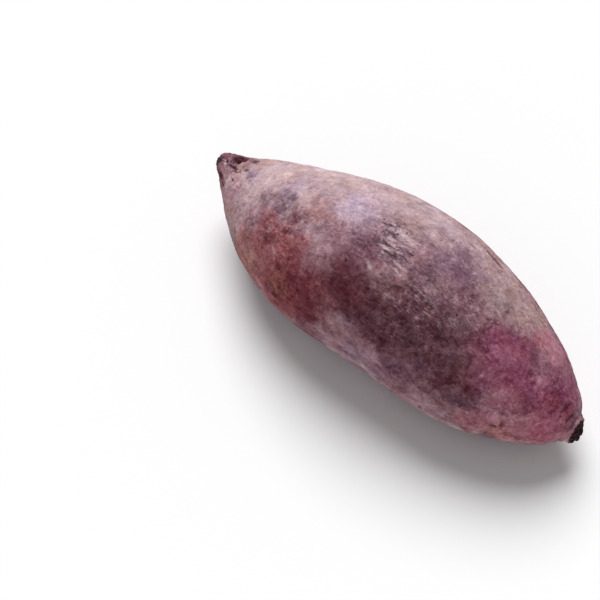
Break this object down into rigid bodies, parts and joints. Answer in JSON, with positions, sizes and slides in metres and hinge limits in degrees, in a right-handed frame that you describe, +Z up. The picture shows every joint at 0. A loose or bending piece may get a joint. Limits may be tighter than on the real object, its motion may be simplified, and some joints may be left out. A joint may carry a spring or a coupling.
{
  "type": "purple sweet potato",
  "caption": "Whole purple sweet potato: a thick, slightly bent root with dusty mauve skin, a shrivelled stem end and a dark broken tail stub, lying on its belly.",
  "frame": {"origin": "on the surface it lies on, under the middle of the root's bounding box", "axes": "+X along the root from the stem end to the tail stub, +Y across it, +Z up"},
  "size_m": [0.1806, 0.0688, 0.0646],
  "materials": {
    "skin": "matte"
  },
  "bodies": {
    "root": {"tuber": "skin"}
  },
  "joints": []
}
